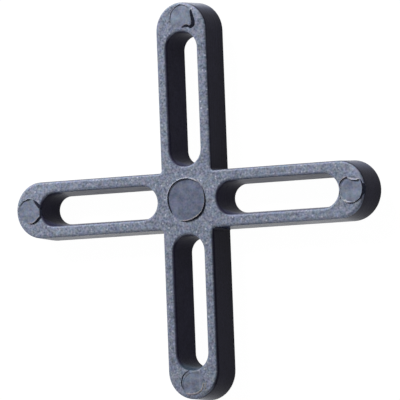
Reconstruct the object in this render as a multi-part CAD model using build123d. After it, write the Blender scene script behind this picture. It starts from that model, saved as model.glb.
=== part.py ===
"""Cross-shaped tile spacer, moulded in one piece, with a round-ended slot through each arm.

It lies on its flat back, with the face that the ejector pins marked upwards.
The arms run along X and Y, and the origin is the middle of the back.
"""

from build123d import *
import os
from math import radians, tan

# Outline in millimetres, at the back, where the draft makes it widest.
JOINT_WIDTH = 9.5  # width of an arm, which sets the gap between the tiles
ARM_LENGTH = 31.6  # from the middle of the cross to the tip of an arm
THICKNESS = 5.3

# Slots, at the back, where the draft makes them narrowest.
RAIL = 2.5  # wall left on each side of a slot
HUB_REACH = 5.85  # solid hub, from the middle of the cross to the start of a slot
END_WEB = 5.3  # solid end between a slot and its arm's tip

# Draft in degrees. The spacer leaves its mould back first, so its outline widens and its slots narrow that way.
OUTLINE_DRAFT = 2.9
SLOT_DRAFT = 5.0

# Rounds.
CORNER_RADIUS = 0.2  # where two arms meet, at the back
EDGE_RADIUS = 0.5  # all round the marked face, slots included

# Marks of the ejector pins, one on the hub and one near each tip.
HUB_PIN_DIAMETER = 6.6
TIP_PIN_DIAMETER = 3.8
PIN_MARK_DEPTH = 0.05

NUMBER_OF_ARMS = 4


def make_cross():
    """The plain cross: arms with round ends that meet in the middle, drafted towards the marked face."""
    with BuildPart() as cross:
        with BuildSketch() as outline:
            with PolarLocations((ARM_LENGTH - JOINT_WIDTH / 2) / 2, NUMBER_OF_ARMS):
                SlotOverall(ARM_LENGTH + JOINT_WIDTH / 2, JOINT_WIDTH)
            corners_between_arms = outline.vertices().sort_by_distance((0, 0))[:NUMBER_OF_ARMS]
            fillet(corners_between_arms, CORNER_RADIUS)
        extrude(amount=THICKNESS, taper=OUTLINE_DRAFT)
    return cross.part


def make_slot_cores():
    """The mould's cores, one for each arm. They widen towards the marked face, where they stand."""
    slot_length = ARM_LENGTH - END_WEB - HUB_REACH
    slot_middle = HUB_REACH + slot_length / 2
    with BuildPart() as cores:
        with BuildSketch():
            with PolarLocations(slot_middle, NUMBER_OF_ARMS):
                SlotOverall(slot_length, JOINT_WIDTH - 2 * RAIL)
        extrude(amount=THICKNESS, taper=-SLOT_DRAFT)
    return cores.part


def make_pin_marks():
    """What the pins pressed in: a disc on the hub, and one midway between each slot and its tip."""
    tip = ARM_LENGTH - THICKNESS * tan(radians(OUTLINE_DRAFT))
    slot_end = ARM_LENGTH - END_WEB + THICKNESS * tan(radians(SLOT_DRAFT))
    with BuildPart() as marks:
        with BuildSketch(Plane.XY.offset(THICKNESS)):
            Circle(HUB_PIN_DIAMETER / 2)
            with PolarLocations((tip + slot_end) / 2, NUMBER_OF_ARMS):
                Circle(TIP_PIN_DIAMETER / 2)
        extrude(amount=-PIN_MARK_DEPTH)
    return marks.part


def make_tile_spacer():
    """The moulding: the cross without its cores, rounded round the marked face, then marked."""
    moulding = make_cross() - make_slot_cores()
    marked_face = moulding.faces().sort_by(Axis.Z)[-1]
    moulding = fillet(marked_face.edges(), EDGE_RADIUS)
    return moulding - make_pin_marks()


os.makedirs("parts", exist_ok=True)
export_step(make_tile_spacer(), "parts/tile_spacer.step")
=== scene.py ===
"""Dresses the tile spacer: its plastic, the flash round its pin marks, and the stage that it is shown on."""

from math import radians
from types import SimpleNamespace

import bpy
from bpy.props import FloatProperty, FloatVectorProperty, IntProperty, PointerProperty
from mathutils import Matrix, Vector


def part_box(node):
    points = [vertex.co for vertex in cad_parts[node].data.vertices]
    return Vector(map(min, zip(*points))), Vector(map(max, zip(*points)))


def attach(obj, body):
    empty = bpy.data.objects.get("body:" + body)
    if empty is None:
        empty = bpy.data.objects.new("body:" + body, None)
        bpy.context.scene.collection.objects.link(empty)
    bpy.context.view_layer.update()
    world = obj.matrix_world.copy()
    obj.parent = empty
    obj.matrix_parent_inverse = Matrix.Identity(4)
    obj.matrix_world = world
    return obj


bl_info = {
    "name": "Tile spacer",
    "version": (1, 0, 0),
    "blender": (4, 5, 0),
    "location": "3D View > Sidebar > Tile spacer",
    "description": "Dresses a moulded tile spacer and sets its stage",
    "category": "Object",
}

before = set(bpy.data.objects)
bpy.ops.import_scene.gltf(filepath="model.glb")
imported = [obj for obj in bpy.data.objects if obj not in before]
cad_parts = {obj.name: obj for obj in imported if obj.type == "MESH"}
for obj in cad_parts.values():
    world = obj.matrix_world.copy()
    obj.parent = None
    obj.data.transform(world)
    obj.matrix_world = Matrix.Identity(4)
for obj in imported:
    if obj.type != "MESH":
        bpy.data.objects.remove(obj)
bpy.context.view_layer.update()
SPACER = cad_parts["tile_spacer"]

MM = 0.001
LOW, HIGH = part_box("tile_spacer")
FACE = HIGH.z
MIDDLE = (LOW + HIGH) / 2

# Middles of the prints that the ejector pins left on the marked face.
HUB = Vector((0.06 * MM, 0, FACE))
EAST = Vector((29.09 * MM, 0, FACE))
NORTH = Vector((0.06 * MM, 29.03 * MM, FACE))
WEST = Vector((-28.97 * MM, 0, FACE))
SOUTH = Vector((0.06 * MM, -29.04 * MM, FACE))

# The smooth discs of the prints, and places where the face is paler, each with its radius.
HUB_DISC = ((HUB, 3.34 * MM),)
TIP_DISCS = (
    (NORTH, 1.92 * MM),
    (EAST, 1.95 * MM),
    (WEST, 1.95 * MM),
    (SOUTH + Vector((-0.3, 0.45, 0)) * MM, 1.95 * MM),
)
PALE_PATCHES = (
    (EAST + Vector((0.6, 2.6, 0)) * MM, 1.1 * MM),
    (NORTH + Vector((2.1, 1.3, 0)) * MM, 1.2 * MM),
    (HUB + Vector((2.2, 3.2, 0)) * MM, 0.7 * MM),
)
DISC_EDGE = 0.05 * MM
PATCH_EDGE = 0.6 * MM

# Stretches in which one finish gives way to the next. X runs to the right arm's tip, and Y to the far arm's.
SLOT_SIDE = (3.3 * MM, 3.7 * MM)  # across an arm, between its slot's walls and its flanks
SLOT_REACH = (27 * MM, 27.6 * MM)  # along an arm, between its slot's end and its tip
NEAR_TIP = (-27.5 * MM, -23 * MM)  # in Y
NEAR_SLOT_END = (-26.2 * MM, -25.4 * MM)  # in Y
NEAR_ARM = (-6 * MM, -4 * MM)  # in Y
FAR_ARM = (6 * MM, 12 * MM)  # in Y
FAR_TIP = (30.3 * MM, 31.2 * MM)  # in Y
RIGHT_RAIL = (2.4 * MM, 3.4 * MM)  # in X, on the far arm
NEAR_HALF = (-30 * MM, 0)  # in Y
NEAR_LEFT = (-25 * MM, 0)  # in the sum of X and Y
SIDE_ARMS = (2 * MM, 28 * MM)  # in X, taken as positive
GRAIN_START = (FACE - 0.34 * MM, FACE - 0.06 * MM)  # in height, between the walls and the eroded face
PRINT_START = (FACE - 0.12 * MM, FACE - 0.1 * MM)  # in height, under the floors of the prints
FACES_NEAR = (-0.7, -0.2)  # in the Y of the surface's direction
FACES_FAR = (0.1, 0.6)  # in the Y of the surface's direction
FACES_RIGHT = (0.05, 0.35)  # in the X of the surface's direction

# How much lower the grain reaches on rims that face the near end, as painted light, and how much less low
# on those that face right in the slots and on the near arm, as painted shade.
NEAR_RIM_LIGHT_DROP = 0.22 * MM
SHADED_RIM_RISE = 0.17 * MM

# Strengths of what makes the plastic paler or darker, as shares of its colour.
WALL_CONTRAST = 0.35  # contrast of the grain off the eroded face
FACE_CLOUDS = 0.13
DISC_CLOUDS = 0.26
HUB_ARM_TONE = -0.03  # of the arms to the right and left, at the hub
TIP_ARM_TONE = 0.07  # and at their tips
NEAR_END_SHADE = 0.95
# Painted highlights on the rims that face the near end and the far end.
RIM_HIGHLIGHT = 0.45
LEAST_RIM_HIGHLIGHT = 0.2  # of the far rims at the near tip, as a share of the others'
DISC_SHADE = 0.1  # of the near and the left arm's discs
PATCH_PALENESS = 0.28
PLAIN_SPECKS = 0.55
GLINTING_SPECKS = 0.85  # on the pale patches and the far arm's right rail

# The grain: how fine its other patterns are as shares of the pits', and what comes of each noise.
SPECK_FINENESS = 0.6
TINT_FINENESS = 0.5
CLOUD_FINENESS = 0.24
NOISE_RANGE = (0.3, 0.7)
PIT_RANGE = (0.2, 0.8)
PIT_LIGHTNESS = (0.35, 1.65)
SPECK_SIZE = (0.08, 0.36)  # as shares of a cell
SPECK_ODDS = (0.6, 0.95)  # only cells whose chance is above these bear a bright speck
SPECK_HEIGHT = 0.4
PATCHES = (-0.8, 0.4)  # in the clouds, on the far tip's painted sheen
LEAST_TIP_SHEEN = 0.5

# The smooth walls, with streaks that run along them, and the matt face.
STREAKS = (0.3 / MM, 0.3 / MM, 3 / MM)  # how fine they are along X, Y and Z
WALL_ROUGHNESS = (0.2, 0.3)
SLOT_ROUGHNESS = 0.07  # added to the walls'
FACE_ROUGHNESS = 0.55
FLANK_ROUGHNESS = (0.3, 0.45)  # of the flash
RAMP_ROUGHNESS = (0.5, 0.6)
PIT_DEPTH = 0.03 * MM
RAMP_PIT_DEPTH = 0.02 * MM
SPECULAR = 0.03
SHEEN = (("Sheen Weight", 0.2), ("Sheen Roughness", 0.3), ("Sheen Tint", (0.3, 0.45, 1.0, 1)))

# The faint drifts of the moulding's colour, as shares of its red, green and blue.
COOL_DRIFTS = ((0.91, 1.03, 1.03), (0.96, 0.96, 1.1))
WARM_DRIFTS = ((1.04, 1.03, 0.9), (1.1, 0.97, 0.97))

# The stage, in metres.
FLOOR_SIZE = 1.2
FLOOR_GAP = 0.01 * MM  # keeps the floor clear of the spacer's back
LAMP_FROM_MIDDLE = Vector((-0.2, 0.28, 0.29))
LAMP_SIZE = 0.12
CAMERA_SHIFT = Vector((0.849, 0.111)) * MM
SIGHT = 10  # how far the camera sees

# The floor's paint where it only lights and where it is seen, and the glow that keeps it white there.
PAPER = (0.85, 0.85, 0.85)
SHADOW_CATCHER = (0.05, 0.05, 0.05)
FLOOR_GLOW = 0.985

WHITE = (1, 1, 1)

# The finishes of a hair's flank and of its ramp.
PALE = ("Black flank", "Pale ramp")
DULL = ("Black flank", "Dull ramp")
DARK = ("Black flank", "Grey flank")
GREY = ("Grey flank", "Pale ramp")
# A painted highlight: a paler copy of the ramp colour.
HIGHLIT = ("Dull ramp", "Highlit ramp")
WORN = ("Dull ramp", "Dull ramp")

# The three lines that a hair is skinned from, and its sides: the lines that each joins, and its finish.
FLANK_FOOT, CREST, RAMP_FOOT = range(3)
HAIR_SIDES = (((FLANK_FOOT, CREST), 0), ((CREST, RAMP_FOOT), 1), ((FLANK_FOOT, RAMP_FOOT), 0))
POINT_SIZE = 0.1 * MM  # of the small plane that is merged to a line's first point

# Each hair of flash is a low ridge round a print: a steep flank on the right hand as one goes along its
# crest, and a ramp on the left. A hair has the depth of its feet below the face, its finishes, and rows of
# the crest's place from the print's middle, its height, the flank's reach and the ramp's reach, all in
# millimetres.
HUB_FLASH = {
    "hub_flash_left": (
        0.08,
        PALE,
        [
            (-2.68, -2.15, 0.0, 0.03, 0.1),
            (-2.78, -1.93, 0.1, 0.03, 0.14),
            (-3.12, -1.12, 0.22, 0.05, 0.2),
            (-3.37, -0.33, 0.21, 0.06, 0.24),
            (-3.43, 0.47, 0.19, 0.06, 0.26),
            (-3.3, 1.27, 0.17, 0.06, 0.26),
            (-2.93, 2.01, 0.16, 0.06, 0.26),
            (-2.41, 2.64, 0.16, 0.06, 0.26),
            (-1.7, 3.07, 0.17, 0.06, 0.28),
            (-0.94, 3.34, 0.19, 0.06, 0.3),
            (-0.13, 3.43, 0.2, 0.06, 0.32),
            (0.57, 3.36, 0.18, 0.04, 0.34),
            (1.26, 3.09, 0.15, 0.03, 0.44),
            (1.84, 2.86, 0.13, 0.03, 0.5),
            (2.3, 2.58, 0.1, 0.03, 0.46),
            (2.55, 2.32, 0.0, 0.03, 0.2),
        ],
    ),
    "hub_flash_right": (
        0.08,
        DULL,
        [
            (-1.66, -3.1, 0.0, 0.04, 0.12),
            (-0.97, -3.26, 0.13, 0.05, 0.18),
            (-0.32, -3.28, 0.25, 0.1, 0.23),
            (0.33, -3.21, 0.26, 0.14, 0.25),
            (1.0, -3.04, 0.25, 0.16, 0.26),
            (1.67, -2.73, 0.25, 0.18, 0.28),
            (2.24, -2.34, 0.26, 0.2, 0.28),
            (2.71, -1.85, 0.25, 0.19, 0.28),
            (2.98, -1.35, 0.23, 0.16, 0.26),
            (3.17, -0.73, 0.22, 0.14, 0.25),
            (3.24, -0.15, 0.2, 0.11, 0.23),
            (3.21, 0.45, 0.17, 0.08, 0.19),
            (3.12, 0.96, 0.16, 0.07, 0.16),
            (2.94, 1.57, 0.12, 0.05, 0.12),
            (2.75, 2.07, 0.04, 0.04, 0.08),
            (2.62, 2.3, 0.0, 0.04, 0.06),
        ],
    ),
}
NORTH_FLASH = {
    "north_flap": (
        0.08,
        DULL,
        [
            (0.1, -1.62, 0.0, 0.14, 0.06),
            (0.4, -1.5, 0.05, 0.34, 0.1),
            (0.75, -1.3, 0.12, 0.42, 0.12),
            (1.13, -1.24, 0.2, 0.46, 0.12),
            (1.48, -1.36, 0.24, 0.32, 0.1),
            (1.8, -1.5, 0.27, 0.42, 0.1),
            (2.02, -1.36, 0.3, 0.48, 0.1),
            (2.1, -1.05, 0.33, 0.44, 0.1),
            (2.08, -0.55, 0.34, 0.36, 0.12),
            (2.0, 0.1, 0.32, 0.28, 0.14),
            (1.92, 0.6, 0.3, 0.22, 0.12),
            (1.9, 0.9, 0.18, 0.16, 0.08),
            (1.9, 1.05, 0.0, 0.06, 0.04),
        ],
    ),
    "north_hair": (
        0.08,
        GREY,
        [
            (-1.98, -1.05, 0.0, 0.05, 0.08),
            (-1.97, -0.8, 0.033, 0.12, 0.12),
            (-1.91, -0.22, 0.044, 0.12, 0.14),
            (-1.84, 0.35, 0.05, 0.15, 0.14),
            (-1.65, 0.87, 0.044, 0.15, 0.14),
            (-1.32, 1.26, 0.044, 0.15, 0.12),
            (-0.93, 1.6, 0.055, 0.15, 0.12),
            (-0.48, 1.83, 0.061, 0.15, 0.1),
            (-0.01, 2.0, 0.16, 0.1, 0.08),
            (0.35, 1.93, 0.1, 0.09, 0.08),
            (0.66, 1.86, 0.12, 0.1, 0.1),
            (1.24, 1.62, 0.12, 0.1, 0.12),
            (1.52, 1.33, 0.06, 0.07, 0.1),
            (1.66, 1.12, 0.0, 0.05, 0.06),
        ],
    ),
}
WEST_FLASH = {
    "west_upper_flap": (
        0.08,
        DULL,
        [
            (2.16, 0.12, -0.07, 0.12, 0.06),
            (2.05, 0.26, 0.12, 0.32, 0.12),
            (1.81, 0.49, 0.24, 0.4, 0.16),
            (1.52, 0.82, 0.26, 0.36, 0.18),
            (1.2, 1.28, 0.24, 0.28, 0.18),
            (0.97, 1.58, 0.12, 0.15, 0.14),
            (0.85, 1.75, 0.0, 0.06, 0.06),
        ],
    ),
    "west_lower_flap": (
        0.08,
        DULL,
        [
            (-0.5, -1.93, 0.0, 0.03, 0.12),
            (-0.08, -2.0, 0.11, 0.05, 0.18),
            (0.31, -2.04, 0.18, 0.07, 0.22),
            (0.68, -2.0, 0.2, 0.1, 0.26),
            (1.04, -1.87, 0.22, 0.18, 0.28),
            (1.37, -1.59, 0.24, 0.28, 0.28),
            (1.71, -1.22, 0.22, 0.34, 0.26),
            (1.98, -0.93, 0.1, 0.34, 0.18),
            (2.1, -0.8, -0.06, 0.06, 0.08),
        ],
    ),
    "west_right_rim": (
        0.26,
        DULL,
        [
            (1.86, -1.06, 0.0, 0.1, 0.1),
            (1.94, -0.8, 0.07, 0.3, 0.2),
            (1.97, -0.4, 0.07, 0.32, 0.22),
            (1.97, -0.05, 0.07, 0.32, 0.2),
            (1.98, 0.22, 0.07, 0.28, 0.14),
            (2.0, 0.42, 0.0, 0.1, 0.06),
        ],
    ),
    "west_hair": (
        0.08,
        GREY,
        [
            (-1.62, 0.78, 0.0, 0.03, 0.08),
            (-1.47, 1.1, 0.07, 0.04, 0.12),
            (-1.24, 1.41, 0.09, 0.05, 0.12),
            (-0.87, 1.71, 0.12, 0.06, 0.14),
            (-0.42, 1.8, 0.13, 0.06, 0.14),
            (0.0, 1.98, 0.19, 0.07, 0.14),
            (0.3, 1.94, 0.13, 0.05, 0.12),
            (0.6, 1.82, 0.0, 0.03, 0.06),
        ],
    ),
}
EAST_FLASH = {
    "east_left_flash": (
        0.08,
        DULL,
        [
            (-2.12, 0.35, 0.0, 0.04, 0.06),
            (-2.08, 0.62, 0.08, 0.07, 0.1),
            (-2.01, 0.91, 0.13, 0.08, 0.14),
            (-1.81, 1.26, 0.14, 0.1, 0.18),
            (-1.5, 1.52, 0.15, 0.1, 0.2),
            (-1.26, 1.7, 0.15, 0.1, 0.2),
            (-0.88, 1.82, 0.21, 0.11, 0.22),
            (-0.66, 1.8, 0.08, 0.07, 0.2),
            (-0.52, 1.76, 0.0, 0.04, 0.1),
        ],
    ),
    "east_left_rim": (
        0.08,
        DULL,
        [
            (-1.84, -1.62, 0.0, 0.03, 0.06),
            (-2.0, -1.3, 0.09, 0.04, 0.1),
            (-2.06, -0.95, 0.04, 0.03, 0.08),
            (-2.09, -0.6, 0.09, 0.04, 0.1),
            (-2.12, -0.2, 0.0, 0.03, 0.06),
        ],
    ),
    "east_lip": (
        0.08,
        PALE,
        [
            (-0.86, 1.86, 0.0, 0.03, 0.1),
            (-0.62, 1.72, 0.08, 0.04, 0.22),
            (-0.32, 1.54, 0.12, 0.04, 0.28),
            (0.04, 1.38, 0.15, 0.05, 0.3),
            (0.42, 1.31, 0.17, 0.06, 0.28),
            (0.81, 1.28, 0.19, 0.08, 0.28),
            (1.12, 1.34, 0.19, 0.09, 0.26),
            (1.34, 1.4, 0.1, 0.05, 0.2),
            (1.5, 1.42, 0.0, 0.03, 0.1),
        ],
    ),
    "east_lower_lip": (
        0.08,
        HIGHLIT,
        [
            (-1.88, -1.02, 0.0, 0.03, 0.12),
            (-1.8, -1.3, 0.14, 0.05, 0.26),
            (-1.52, -1.68, 0.18, 0.06, 0.3),
            (-1.16, -1.94, 0.2, 0.06, 0.32),
            (-0.78, -2.08, 0.2, 0.06, 0.32),
            (-0.35, -2.12, 0.14, 0.05, 0.3),
            (0.1, -2.08, 0.0, 0.03, 0.16),
        ],
    ),
    "east_right_flash": (
        0.34,
        DULL,
        [
            (-0.7, -2.26, 0.0, 0.06, 0.1),
            (-0.45, -2.24, 0.14, 0.12, 0.16),
            (-0.13, -2.18, 0.2, 0.14, 0.18),
            (0.4, -2.12, 0.14, 0.14, 0.16),
            (0.79, -1.92, 0.18, 0.16, 0.16),
            (1.14, -1.69, 0.2, 0.2, 0.16),
            (1.43, -1.47, 0.21, 0.24, 0.14),
            (1.6, -1.12, 0.2, 0.28, 0.14),
            (1.78, -0.66, 0.18, 0.33, 0.12),
            (1.85, -0.15, 0.18, 0.35, 0.12),
            (1.85, 0.25, 0.18, 0.35, 0.12),
            (1.79, 0.58, 0.17, 0.31, 0.12),
            (1.68, 0.9, 0.17, 0.22, 0.1),
            (1.62, 1.18, 0.17, 0.18, 0.08),
            (1.5, 1.38, 0.1, 0.14, 0.04),
            (1.36, 1.44, 0.0, 0.06, 0.04),
        ],
    ),
}
SOUTH_FLASH = {
    "south_left_flash": (
        0.08,
        DARK,
        [
            (-1.88, -0.75, 0.0, 0.03, 0.08),
            (-1.97, -0.52, 0.08, 0.04, 0.12),
            (-2.13, -0.16, 0.12, 0.06, 0.16),
            (-2.2, 0.34, 0.13, 0.08, 0.18),
            (-2.11, 0.8, 0.12, 0.08, 0.18),
            (-1.98, 1.27, 0.11, 0.08, 0.18),
            (-1.76, 1.63, 0.1, 0.08, 0.16),
            (-1.41, 1.92, 0.1, 0.06, 0.16),
            (-1.08, 2.1, 0.08, 0.04, 0.12),
            (-0.8, 2.25, 0.0, 0.03, 0.08),
        ],
    ),
    "south_inner_ridge": (
        0.08,
        WORN,
        [
            (-1.6, -1.25, 0.0, 0.1, 0.11),
            (-1.34, -1.4, 0.03, 0.14, 0.18),
            (-0.69, -1.46, 0.04, 0.19, 0.2),
            (-0.12, -1.47, 0.04, 0.19, 0.2),
            (0.38, -1.4, 0.04, 0.19, 0.2),
            (0.86, -1.23, 0.05, 0.19, 0.2),
            (1.27, -0.92, 0.05, 0.19, 0.2),
            (1.52, -0.47, 0.05, 0.19, 0.18),
            (1.64, -0.05, 0.04, 0.17, 0.16),
            (1.66, 0.25, 0.0, 0.07, 0.09),
        ],
    ),
    "south_outer_ridge": (
        0.08,
        WORN,
        [
            (1.6, -1.35, 0.0, 0.1, 0.09),
            (1.88, -1.02, 0.04, 0.13, 0.14),
            (2.05, -0.54, 0.06, 0.16, 0.16),
            (2.16, 0.0, 0.05, 0.16, 0.16),
            (2.26, 0.5, 0.03, 0.1, 0.13),
            (2.3, 0.8, 0.0, 0.08, 0.07),
        ],
    ),
}

# The hairs of each print.
PRINTS = (
    (HUB, HUB_FLASH),
    (NORTH, NORTH_FLASH),
    (WEST, WEST_FLASH),
    (EAST, EAST_FLASH),
    (SOUTH, SOUTH_FLASH),
)


def colour_setting(name, description, default):
    """A colour that a user can change."""
    return FloatVectorProperty(name=name, description=description, subtype="COLOR", size=3, default=default)


class PlasticSettings(bpy.types.PropertyGroup):
    """Colours and grain of the moulded plastic."""

    marked_colour: colour_setting("Marked face", "Colour of the spark-eroded face", (0.197, 0.222, 0.291))
    # The far tip's colour is a painted sheen on the far arm's end.
    tip_sheen_colour: colour_setting("Far tip", "Colour of the rubbed end of the far arm", (0.26, 0.27, 0.31))
    wall_colour: colour_setting("Walls", "Colour of the smooth flanks and the back", (0.016, 0.0147, 0.029))
    # The slots' walls are the flanks' plastic, painted paler as fill light for the shade in the slots.
    slot_fill_colour: colour_setting("Slot walls", "Colour of the walls left by the cores", (0.041, 0.0385, 0.07))
    # The near slot's outer end is painted paler and bluer, a painted reflection of the white floor.
    end_reflection_colour: colour_setting("Slot end", "Colour of the near slot's outer end", (0.05, 0.075, 0.105))
    hub_mark_colour: colour_setting("Hub pin mark", "Colour of the disc on the hub", (0.13, 0.148, 0.212))
    tip_mark_colour: colour_setting("Tip pin marks", "Colour of the discs at the tips", (0.19, 0.217, 0.29))
    # The specks are painted glints of the eroded grain.
    glint_speck_colour: colour_setting("Specks", "Colour of the bright specks in the grain", (0.7, 0.72, 0.82))
    grain: FloatProperty(
        name="Grain", description="Width of one pit of the eroded texture", unit="LENGTH", default=0.325 * MM
    )


class FlashSettings(bpy.types.PropertyGroup):
    """The hairs of flash that stand round the pin marks."""

    ragged: FloatProperty(
        name="Raggedness", description="Unevenness of its torn edge", unit="LENGTH", default=0.02 * MM
    )
    seed: IntProperty(name="Seed", description="Picks another torn edge", default=7)
    height: FloatProperty(name="Height", description="Of the hairs, as a share of the rows'", default=1.35)
    reach: FloatProperty(name="Reach", description="Of the flanks, as a share of the rows'", default=1.5)
    # This ramp colour is a paler copy of the others, a painted highlight.
    highlight_ramp_colour: colour_setting("Highlit ramp", "Colour of its palest stretch", (0.42, 0.43, 0.5))
    pale_colour: colour_setting("Pale ramp", "Colour of its stretched side", (0.32, 0.34, 0.4))
    dull_colour: colour_setting("Dull ramp", "Colour of its duller stretches", (0.225, 0.215, 0.235))
    black_colour: colour_setting("Black flank", "Colour of its smooth side", (0.022, 0.025, 0.042))
    grey_colour: colour_setting("Grey flank", "Colour of the flanks that aren't black", (0.125, 0.138, 0.182))


class StageSettings(bpy.types.PropertyGroup):
    """Lights, floor and camera."""

    key_power: FloatProperty(name="Key light", description="Power of the lamp", subtype="POWER", default=2.25)
    fill: FloatProperty(name="Sky", description="Strength of the even light from all round", default=0.27)
    lens: FloatProperty(name="Lens", description="Focal length", subtype="DISTANCE_CAMERA", default=382.32)
    distance: FloatProperty(
        name="Camera distance", description="From the spacer's middle", unit="LENGTH", default=0.67145
    )
    turn: FloatProperty(
        name="Turn", description="Camera swung to the right", subtype="ANGLE", default=radians(28.615)
    )
    dip: FloatProperty(
        name="Dip", description="Camera swung towards the near arm", subtype="ANGLE", default=radians(3.33)
    )
    roll: FloatProperty(name="Roll", description="Camera rolled", subtype="ANGLE", default=radians(-2.17))


# Shader helpers


def add_node(tree, kind, *links, **values):
    """Adds a node, sets its named settings and fills its inputs, each given as (input, output or value)."""
    node = tree.nodes.new(kind)
    for name, value in values.items():
        setattr(node, name, value)
    for target, source in links:
        if isinstance(source, bpy.types.NodeSocket):
            tree.links.new(source, node.inputs[target])
        else:
            node.inputs[target].default_value = source
    return node


def new_material(name):
    """An empty material and its tree."""
    material = bpy.data.materials.new(name)
    material.use_nodes = True
    material.node_tree.nodes.clear()
    return material, material.node_tree


def object_place(tree):
    """Where on the piece a point lies, which every pattern reads."""
    return add_node(tree, "ShaderNodeTexCoord").outputs["Object"]


def maths(tree, operation, value, *others):
    """The result of one sum that takes its values in turn."""
    for other in others:
        value = add_node(tree, "ShaderNodeMath", (0, value), (1, other), operation=operation).outputs[0]
    return value


def ramp(tree, value, low, high, to_low=0.0, to_high=1.0, kind="SMOOTHSTEP"):
    """A value run from one range to another."""
    node = add_node(
        tree,
        "ShaderNodeMapRange",
        ("Value", value),
        ("From Min", low),
        ("From Max", high),
        ("To Min", to_low),
        ("To Max", to_high),
        interpolation_type=kind,
    )
    return node.outputs[0]


def fall(tree, value, low, high):
    """A mask that is one below a stretch and nothing above it."""
    return ramp(tree, value, low, high, 1.0, 0.0)


def blend(tree, mask, off, on):
    """A value that goes evenly from off to on with a mask."""
    return ramp(tree, mask, 0.0, 1.0, off, on, "LINEAR")


def vector_maths(tree, operation, *vectors):
    """The outputs of one step of arithmetic on vectors."""
    return add_node(tree, "ShaderNodeVectorMath", *enumerate(vectors), operation=operation).outputs


def split(tree, vector):
    """The X, Y and Z of a vector."""
    return add_node(tree, "ShaderNodeSeparateXYZ", ("Vector", vector)).outputs


def mix_colour(tree, factor, first, second):
    """Two colours mixed by a mask. The node's inputs 6 and 7 and its output 2 are its colours."""
    node = add_node(tree, "ShaderNodeMix", (0, factor), (6, first), (7, second), data_type="RGBA")
    return node.outputs[2]


def mix_value(tree, factor, first, second):
    """Two values mixed by a mask. The node's inputs 2 and 3 and its output 0 are its plain values."""
    return add_node(tree, "ShaderNodeMix", (0, factor), (2, first), (3, second)).outputs[0]


def opaque(colour):
    """A setting's colour as a socket takes it."""
    return (*colour, 1)


def lit(tree, colour, lightness):
    """A colour made paler or darker by a value."""
    scaled = add_node(tree, "ShaderNodeVectorMath", (0, colour), ("Scale", lightness), operation="SCALE")
    return scaled.outputs[0]


def noise(tree, position, scale, detail=2.0):
    """The outputs of a soft noise."""
    inputs = (("Vector", position), ("Scale", scale), ("Detail", detail))
    return add_node(tree, "ShaderNodeTexNoise", *inputs).outputs


def discs(tree, position, marks, edge):
    """A mask of round marks on the face, each given as its middle and radius."""
    flat = vector_maths(tree, "MULTIPLY", position, (1, 1, 0))[0]
    masks = []
    for middle, radius in marks:
        away = vector_maths(tree, "DISTANCE", flat, (middle.x, middle.y, 0))["Value"]
        masks.append(fall(tree, away, radius - edge, radius + edge))
    return maths(tree, "MAXIMUM", *masks)


# Materials


def eroded_grain_group():
    """Pits of a spark-eroded face, a mask of bright specks that are painted glints, and the moulding's slow
    drifts of shade and colour.
    """
    group = bpy.data.node_groups.new("Eroded grain", "ShaderNodeTree")
    group.interface.new_socket("Position", in_out="INPUT", socket_type="NodeSocketVector")
    group.interface.new_socket("Grain", in_out="INPUT", socket_type="NodeSocketFloat")
    for name in ("Height", "Lightness", "Specks", "Tint", "Hue", "Clouds"):
        group.interface.new_socket(name, in_out="OUTPUT", socket_type="NodeSocketFloat")
    given = group.nodes.new("NodeGroupInput").outputs
    position = given["Position"]
    fineness = maths(group, "DIVIDE", 1.0, given["Grain"])
    pits = noise(group, position, fineness)[0]
    clouds = noise(group, position, maths(group, "MULTIPLY", fineness, CLOUD_FINENESS), detail=3.0)[0]
    drifts = noise(group, position, maths(group, "MULTIPLY", fineness, TINT_FINENESS))
    hue = add_node(group, "ShaderNodeSeparateColor", ("Color", drifts["Color"])).outputs["Green"]

    speck_fineness = maths(group, "MULTIPLY", fineness, SPECK_FINENESS)
    cells = add_node(group, "ShaderNodeTexVoronoi", ("Vector", position), ("Scale", speck_fineness)).outputs
    chance = add_node(group, "ShaderNodeSeparateColor", ("Color", cells["Color"])).outputs["Red"]
    specks = fall(group, cells["Distance"], *SPECK_SIZE)
    specks = maths(group, "MULTIPLY", specks, ramp(group, chance, *SPECK_ODDS))
    add_node(
        group,
        "NodeGroupOutput",
        ("Height", maths(group, "ADD", pits, maths(group, "MULTIPLY", specks, SPECK_HEIGHT))),
        ("Lightness", ramp(group, pits, *PIT_RANGE, *PIT_LIGHTNESS, "LINEAR")),
        ("Specks", specks),
        ("Tint", ramp(group, drifts[0], *NOISE_RANGE)),
        ("Clouds", ramp(group, clouds, *NOISE_RANGE, -1.0, 1.0, "LINEAR")),
        ("Hue", ramp(group, hue, *NOISE_RANGE)),
    )


def place_grain(tree, position, width):
    """The shared grain in a material."""
    group = bpy.data.node_groups["Eroded grain"]
    inputs = (("Position", position), ("Grain", width))
    return add_node(tree, "ShaderNodeGroup", *inputs, node_tree=group).outputs


def tinted(tree, grain, colour):
    """A colour with the faint blue, red, green and violet drifts of the moulding."""
    mixes = []
    for drifts in (COOL_DRIFTS, WARM_DRIFTS):
        first, second = (opaque(part * share for part, share in zip(colour, drift)) for drift in drifts)
        mixes.append(mix_colour(tree, grain["Hue"], first, second))
    return mix_colour(tree, grain["Tint"], *mixes)


def add_plastic(tree, colour, roughness, *inputs):
    """The plastic's shader, which stays dark where it mirrors the sky, and the material's output."""
    shader = add_node(
        tree,
        "ShaderNodeBsdfPrincipled",
        ("Base Color", colour),
        ("Roughness", roughness),
        ("Specular IOR Level", SPECULAR),
        *inputs,
    )
    add_node(tree, "ShaderNodeOutputMaterial", ("Surface", shader.outputs[0]))


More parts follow.
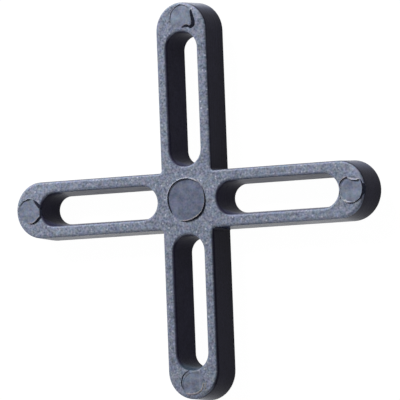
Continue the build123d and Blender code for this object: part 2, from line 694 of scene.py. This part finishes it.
def slot_walls(tree, across):
    """A mask of the slots' walls, from the distances to the cross's two middle lines."""
    near_wall = fall(tree, maths(tree, "MINIMUM", across["X"], across["Y"]), *SLOT_SIDE)
    within_reach = fall(tree, maths(tree, "MAXIMUM", across["X"], across["Y"]), *SLOT_REACH)
    return maths(tree, "MULTIPLY", near_wall, within_reach)


def marked_face(tree, place, facing, in_slot):
    """A mask of the spark-eroded face, which takes in the upper part of its rims."""
    # Painted light: the pale grain reaches lower on rims that face the near end.
    painted_rim_light = maths(tree, "MULTIPLY", fall(tree, facing["Y"], *FACES_NEAR), NEAR_RIM_LIGHT_DROP)
    # Painted shade: it stops higher on right-facing rims in the slots and on the near arm.
    painted_rim_shade = maths(tree, "MAXIMUM", in_slot, fall(tree, place["Y"], *NEAR_ARM))
    painted_rim_shade = maths(tree, "MULTIPLY", painted_rim_shade, ramp(tree, facing["X"], *FACES_RIGHT), SHADED_RIM_RISE)
    height = maths(tree, "SUBTRACT", maths(tree, "ADD", place["Z"], painted_rim_light), painted_rim_shade)
    return ramp(tree, height, *GRAIN_START)


def painted_tip_sheen(tree, place, clouds):
    """A patchy mask of the painted sheen on the far arm's end."""
    patches = ramp(tree, clouds, *PATCHES, LEAST_TIP_SHEEN, 1.0)
    return maths(tree, "MULTIPLY", ramp(tree, place["Y"], *FAR_TIP), patches)


def read_surface(tree, position, grain):
    """Where each part of the moulding's surface lies and faces, and masks of its finishes."""
    place = split(tree, position)
    facing = split(tree, add_node(tree, "ShaderNodeTexCoord").outputs["Normal"])
    across = split(tree, vector_maths(tree, "ABSOLUTE", position)[0])
    in_slot = slot_walls(tree, across)
    marked = marked_face(tree, place, facing, in_slot)
    in_print = ramp(tree, place["Z"], *PRINT_START)
    hub_disc = maths(tree, "MULTIPLY", discs(tree, position, HUB_DISC, DISC_EDGE), in_print)
    tip_discs = maths(tree, "MULTIPLY", discs(tree, position, TIP_DISCS, DISC_EDGE), in_print)
    smooth = maths(tree, "MAXIMUM", hub_disc, tip_discs)
    return SimpleNamespace(
        place=place,
        facing=facing,
        across=across,
        in_slot=in_slot,
        marked=marked,
        hub_disc=hub_disc,
        tip_discs=tip_discs,
        smooth=smooth,
        eroded=maths(tree, "MULTIPLY", marked, maths(tree, "SUBTRACT", 1.0, smooth)),
        paler_places=discs(tree, position, PALE_PATCHES, PATCH_EDGE),
        tip_sheen=painted_tip_sheen(tree, place, grain["Clouds"]),
    )


def wall_paint(tree, surface, settings):
    """The colour of the flanks and the slots' walls, the latter painted paler as fill for their shade, with a
    painted reflection on the near slot's outer end and a painted sheen on the far arm's end.
    """
    # Painted reflection on the near slot's outer end.
    painted_end_reflection = maths(tree, "MULTIPLY", surface.in_slot, fall(tree, surface.place["Y"], *NEAR_SLOT_END))
    # Painted fill light: the slots' walls are paler than the flanks to make up for their shade.
    paint = mix_colour(tree, surface.in_slot, opaque(settings.wall_colour), opaque(settings.slot_fill_colour))
    paint = mix_colour(tree, painted_end_reflection, paint, opaque(settings.end_reflection_colour))
    # Painted sheen on the far arm's end.
    return mix_colour(tree, surface.tip_sheen, paint, opaque(settings.tip_sheen_colour))


def grain_shades(tree, surface, grain):
    """How much paler or darker the pits and the clouds are than the plastic."""
    pits = maths(tree, "SUBTRACT", grain["Lightness"], 1.0)
    pits = maths(tree, "MULTIPLY", pits, blend(tree, surface.eroded, WALL_CONTRAST, 1.0))
    clouds = maths(tree, "MULTIPLY", grain["Clouds"], blend(tree, surface.smooth, FACE_CLOUDS, DISC_CLOUDS))
    return maths(tree, "ADD", pits, clouds)


def painted_rim_highlight(tree, surface):
    """Painted highlights: how much paler the rims are that face the near end or the far end."""
    less_by_near_tip = ramp(tree, surface.place["Y"], *NEAR_TIP, LEAST_RIM_HIGHLIGHT, 1.0)
    far_rims = maths(tree, "MULTIPLY", ramp(tree, surface.facing["Y"], *FACES_FAR), less_by_near_tip)
    rims = maths(tree, "MAXIMUM", fall(tree, surface.facing["Y"], *FACES_NEAR), far_rims)
    return maths(tree, "MULTIPLY", rims, surface.marked, RIM_HIGHLIGHT)


def plastic_lightness(tree, surface, grain):
    """How light the plastic is, as a share of its colour, with painted shade towards the near end and painted
    highlights on its rims.
    """
    place = surface.place
    # The side arms are darker by the hub and paler towards their tips.
    arm_tone = ramp(tree, surface.across["X"], *SIDE_ARMS, HUB_ARM_TONE, TIP_ARM_TONE, "LINEAR")
    side_arm_tone = maths(tree, "MULTIPLY", arm_tone, surface.eroded)
    lightness = maths(tree, "ADD", grain_shades(tree, surface, grain), side_arm_tone, 1.0)
    near_end = ramp(tree, place["Y"], *NEAR_HALF, NEAR_END_SHADE, 1.0, "LINEAR")
    lightness = maths(tree, "MULTIPLY", lightness, near_end)
    patch_lift = maths(tree, "MULTIPLY", surface.paler_places, PATCH_PALENESS, surface.eroded)
    lightness = maths(tree, "ADD", lightness, painted_rim_highlight(tree, surface), patch_lift)
    near_left = ramp(tree, maths(tree, "ADD", place["X"], place["Y"]), *NEAR_LEFT, DISC_SHADE, 0.0)
    dim_discs = maths(tree, "MULTIPLY", near_left, surface.tip_discs)
    return maths(tree, "SUBTRACT", lightness, dim_discs)


def glint_speck_mask(tree, surface, grain):
    """Painted glints: the bright specks of the eroded face and of the far tip's painted sheen, stronger on
    the pale patches and on the far arm's right rail.
    """
    right_rail = ramp(tree, surface.place["X"], *RIGHT_RAIL)
    right_rail = maths(tree, "MULTIPLY", right_rail, ramp(tree, surface.place["Y"], *FAR_ARM))
    glinting = maths(tree, "MAXIMUM", right_rail, surface.paler_places)
    strength = ramp(tree, glinting, 0.0, 1.0, PLAIN_SPECKS, GLINTING_SPECKS)
    speckled = maths(tree, "MAXIMUM", surface.eroded, surface.tip_sheen)
    return maths(tree, "MULTIPLY", grain["Specks"], speckled, strength)


def wall_roughness(tree, position, in_slot):
    """Streaks that run along the smooth walls, duller in the slots."""
    streaks = noise(tree, vector_maths(tree, "MULTIPLY", position, STREAKS)[0], 1.0, detail=3.0)[0]
    walls = ramp(tree, streaks, *NOISE_RANGE, *WALL_ROUGHNESS)
    return maths(tree, "ADD", walls, maths(tree, "MULTIPLY", in_slot, SLOT_ROUGHNESS))


def moulded_plastic(settings):
    """Black plastic: grey and pitted on the marked face, smooth and dark on the walls, clean on the discs."""
    material, tree = new_material("Moulded plastic")
    position = object_place(tree)
    grain = place_grain(tree, position, settings.grain)
    surface = read_surface(tree, position, grain)
    walls = wall_paint(tree, surface, settings)
    colour = mix_colour(tree, surface.marked, walls, tinted(tree, grain, settings.marked_colour))
    colour = mix_colour(tree, surface.hub_disc, colour, tinted(tree, grain, settings.hub_mark_colour))
    colour = mix_colour(tree, surface.tip_discs, colour, tinted(tree, grain, settings.tip_mark_colour))
    colour = lit(tree, colour, plastic_lightness(tree, surface, grain))
    colour = mix_colour(tree, glint_speck_mask(tree, surface, grain), colour, opaque(settings.glint_speck_colour))
    walls = wall_roughness(tree, position, surface.in_slot)
    roughness = mix_value(tree, surface.marked, walls, FACE_ROUGHNESS)
    pits = maths(tree, "MULTIPLY", grain["Height"], surface.eroded)
    relief = (("Strength", 1.0), ("Distance", PIT_DEPTH), ("Height", pits))
    bump = add_node(tree, "ShaderNodeBump", *relief).outputs[0]
    add_plastic(tree, colour, roughness, ("Normal", bump), *SHEEN)
    return material


def smooth_flank(name, paint, grain_width):
    """The smooth dark side of the flash."""
    _, tree = new_material(name)
    grain = place_grain(tree, object_place(tree), grain_width)
    roughness = ramp(tree, grain["Clouds"], -1.0, 1.0, *FLANK_ROUGHNESS)
    add_plastic(tree, lit(tree, paint, grain["Lightness"]), roughness)


def stretched_ramp(name, paint, grain_width):
    """The stretched, paler side of the flash."""
    _, tree = new_material(name)
    grain = place_grain(tree, object_place(tree), grain_width)
    colour = lit(tree, tinted(tree, grain, paint), grain["Lightness"])
    roughness = ramp(tree, grain["Clouds"], -1.0, 1.0, *RAMP_ROUGHNESS)
    relief = (("Strength", 0.6), ("Distance", RAMP_PIT_DEPTH), ("Height", grain["Height"]))
    bump = add_node(tree, "ShaderNodeBump", *relief).outputs[0]
    add_plastic(tree, colour, roughness, ("Normal", bump))


def seen_rays(tree):
    """One for rays that show the background: from the camera, reflected or let through."""
    rays = add_node(tree, "ShaderNodeLightPath").outputs
    return maths(tree, "MAXIMUM", rays["Is Camera Ray"], rays["Is Glossy Ray"], rays["Is Transmission Ray"])


def white_floor_material():
    """White to the camera and in reflections, with a trace of the spacer's own shadow."""
    material, tree = new_material("White floor")
    paper = add_node(tree, "ShaderNodeBsdfDiffuse", ("Color", opaque(PAPER))).outputs[0]
    shade = add_node(tree, "ShaderNodeBsdfDiffuse", ("Color", opaque(SHADOW_CATCHER))).outputs[0]
    glow = add_node(tree, "ShaderNodeEmission", ("Color", opaque(WHITE)), ("Strength", FLOOR_GLOW)).outputs[0]
    shown = add_node(tree, "ShaderNodeAddShader", (0, shade), (1, glow)).outputs[0]
    both = add_node(tree, "ShaderNodeMixShader", (0, seen_rays(tree)), (1, paper), (2, shown)).outputs[0]
    add_node(tree, "ShaderNodeOutputMaterial", ("Surface", both))
    return material


# Flash


def beside(points):
    """The level direction at the right hand of each point of a line."""
    ends = zip([points[0], *points[:-1]], [*points[1:], points[-1]])
    return [(after - before).cross(Vector((0, 0, 1))).normalized() for before, after in ends]


def hair_lines(middle, depth, rows, settings):
    """The points of a hair's three lines: the flank's foot, the crest and the ramp's foot."""
    spine = [middle + Vector((x, y, 0)) * MM for x, y, *_ in rows]
    sunk = Vector((0, 0, -depth * MM))
    flank_foot = []
    crest = []
    ramp_foot = []
    for point, right, (_, _, height, flank, ramp_reach) in zip(spine, beside(spine), rows):
        flank_foot.append(point + right * flank * settings.reach * MM + sunk)
        crest.append(point + Vector((0, 0, height * settings.height * MM)))
        ramp_foot.append(point - right * ramp_reach * MM + sunk)
    return flank_foot, crest, ramp_foot


def draw_line(points):
    """Draws edges from point to point in the piece that is being edited."""
    bpy.ops.mesh.primitive_plane_add(size=POINT_SIZE, location=points[0])
    bpy.ops.mesh.merge(type="CENTER")
    for last, point in zip(points, points[1:]):
        bpy.ops.mesh.extrude_region_move(TRANSFORM_OT_translate={"value": point - last})


def select_lines(piece, count, chosen):
    """Selects some of the lines that were drawn one after the other, each with the same count of points."""
    bpy.ops.mesh.select_all(action="DESELECT")
    bpy.ops.object.mode_set(mode="OBJECT")
    for edge in piece.data.edges:
        lines = {index // count for index in edge.vertices}
        edge.select = len(lines) == 1 and lines <= set(chosen)
    bpy.ops.object.mode_set(mode="EDIT")


def skin_hair(hair, count):
    """Bridges a hair's lines, each with the same count of points, by its sides, and closes its ends."""
    for pair, finish in HAIR_SIDES:
        select_lines(hair, count, pair)
        hair.active_material_index = finish
        bpy.ops.mesh.bridge_edge_loops()
        bpy.ops.object.material_slot_assign()
    bpy.ops.mesh.select_all(action="SELECT")
    bpy.ops.mesh.fill_holes(sides=3)


def add_hair(name, middle, depth, finishes, rows, settings):
    """Raises one hair of flash: its crest, a steep flank on its right and a ramp on its left."""
    bpy.ops.object.select_all(action="DESELECT")
    bpy.ops.mesh.primitive_plane_add(size=POINT_SIZE, location=middle)
    hair = bpy.context.object
    hair.name = name
    for finish in finishes:
        hair.data.materials.append(bpy.data.materials[finish])
    bpy.ops.object.mode_set(mode="EDIT")
    bpy.ops.mesh.delete(type="VERT")
    for line in hair_lines(middle, depth, rows, settings):
        draw_line(line)
    skin_hair(hair, len(rows))
    bpy.ops.mesh.select_all(action="SELECT")
    bpy.ops.transform.vertex_random(offset=settings.ragged, seed=settings.seed)
    bpy.ops.mesh.subdivide(number_cuts=2)
    bpy.ops.mesh.normals_make_consistent(inside=False)
    bpy.ops.object.mode_set(mode="OBJECT")
    bpy.ops.object.transform_apply()
    smooth = hair.modifiers.new("Smooth", "SUBSURF")
    smooth.levels = smooth.render_levels = 1
    bpy.ops.object.modifier_apply(modifier=smooth.name)
    bpy.ops.object.shade_smooth()
    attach(hair, "root")


# Stage


def add_floor():
    """A wide white floor just under the spacer."""
    bpy.ops.object.select_all(action="DESELECT")
    bpy.ops.mesh.primitive_plane_add(size=FLOOR_SIZE, location=(0, 0, -FLOOR_GAP))
    floor = bpy.context.object
    floor.name = "floor"
    floor.data.materials.append(white_floor_material())


def add_world(scene, settings):
    """An even sky, white where it is seen and dim where it only lights."""
    world = bpy.data.worlds.new("Soft white room")
    scene.world = world
    world.use_nodes = True
    tree = world.node_tree
    tree.nodes.clear()
    strength = ramp(tree, seen_rays(tree), 0.0, 1.0, settings.fill, 1.0)
    sky = add_node(tree, "ShaderNodeBackground", ("Color", opaque(WHITE)), ("Strength", strength))
    add_node(tree, "ShaderNodeOutputWorld", ("Surface", sky.outputs[0]))


def add_key_light(settings):
    """One soft lamp at the far left, pointed at the spacer."""
    bpy.ops.object.light_add(type="AREA", location=MIDDLE + LAMP_FROM_MIDDLE)
    lamp = bpy.context.object
    lamp.name = "key_light"
    lamp.data.energy = settings.key_power
    lamp.data.size = LAMP_SIZE
    lamp.rotation_euler = (-LAMP_FROM_MIDDLE).to_track_quat("-Z", "Y").to_euler()


def add_camera(scene, settings):
    """Looks down on the marked face from the photograph's side."""
    bpy.ops.object.camera_add()
    camera = bpy.context.object
    camera.data.lens = settings.lens
    camera.data.clip_end = SIGHT
    turn = Matrix.Rotation(settings.turn, 4, "Y")
    dip = Matrix.Rotation(settings.dip, 4, "X")
    roll = Matrix.Rotation(settings.roll, 4, "Z")
    framing = Matrix.Translation((*CAMERA_SHIFT, settings.distance))
    camera.matrix_world = Matrix.Translation(MIDDLE) @ turn @ dip @ roll @ framing
    scene.camera = camera


# Operators


class DressMoulding(bpy.types.Operator):
    """Give the moulding its plastic"""

    bl_idname = "spacer.dress_moulding"
    bl_label = "Dress the moulding"

    def execute(self, context):
        eroded_grain_group()
        SPACER.data.materials[0] = moulded_plastic(context.scene.spacer_plastic)
        return {"FINISHED"}


class AddFlash(bpy.types.Operator):
    """Raise the hairs of flash round the pin marks"""

    bl_idname = "spacer.add_flash"
    bl_label = "Add the flash"

    def execute(self, context):
        settings = context.scene.spacer_flash
        grain_width = context.scene.spacer_plastic.grain
        smooth_flank("Black flank", settings.black_colour, grain_width)
        smooth_flank("Grey flank", settings.grey_colour, grain_width)
        stretched_ramp("Dull ramp", settings.dull_colour, grain_width)
        stretched_ramp("Pale ramp", settings.pale_colour, grain_width)
        stretched_ramp("Highlit ramp", settings.highlight_ramp_colour, grain_width)
        for middle, hairs in PRINTS:
            for name, (depth, finishes, rows) in hairs.items():
                add_hair(name, middle, depth, finishes, rows, settings)
        return {"FINISHED"}


class SetStage(bpy.types.Operator):
    """Add the floor, the lights and the camera"""

    bl_idname = "spacer.set_stage"
    bl_label = "Set the stage"

    def execute(self, context):
        settings = context.scene.spacer_stage
        add_floor()
        add_world(context.scene, settings)
        add_key_light(settings)
        add_camera(context.scene, settings)
        context.scene.view_settings.view_transform = "Standard"
        return {"FINISHED"}


STEPS = (DressMoulding, AddFlash, SetStage)


class SpacerPanel(bpy.types.Panel):
    """Lists the steps"""

    bl_idname = "VIEW3D_PT_tile_spacer"
    bl_label = "Tile spacer"
    bl_space_type = "VIEW_3D"
    bl_region_type = "UI"
    bl_category = "Tile spacer"

    def draw(self, context):
        for step in STEPS:
            self.layout.operator(step.bl_idname)


CLASSES = (PlasticSettings, FlashSettings, StageSettings, *STEPS, SpacerPanel)


def register():
    for cls in CLASSES:
        bpy.utils.register_class(cls)
    bpy.types.Scene.spacer_plastic = PointerProperty(type=PlasticSettings)
    bpy.types.Scene.spacer_flash = PointerProperty(type=FlashSettings)
    bpy.types.Scene.spacer_stage = PointerProperty(type=StageSettings)


def unregister():
    del bpy.types.Scene.spacer_stage
    del bpy.types.Scene.spacer_flash
    del bpy.types.Scene.spacer_plastic
    for cls in reversed(CLASSES):
        bpy.utils.unregister_class(cls)


def main():
    register()
    bpy.ops.spacer.dress_moulding()
    bpy.ops.spacer.add_flash()
    bpy.ops.spacer.set_stage()


if __name__ == "__main__":
    main()
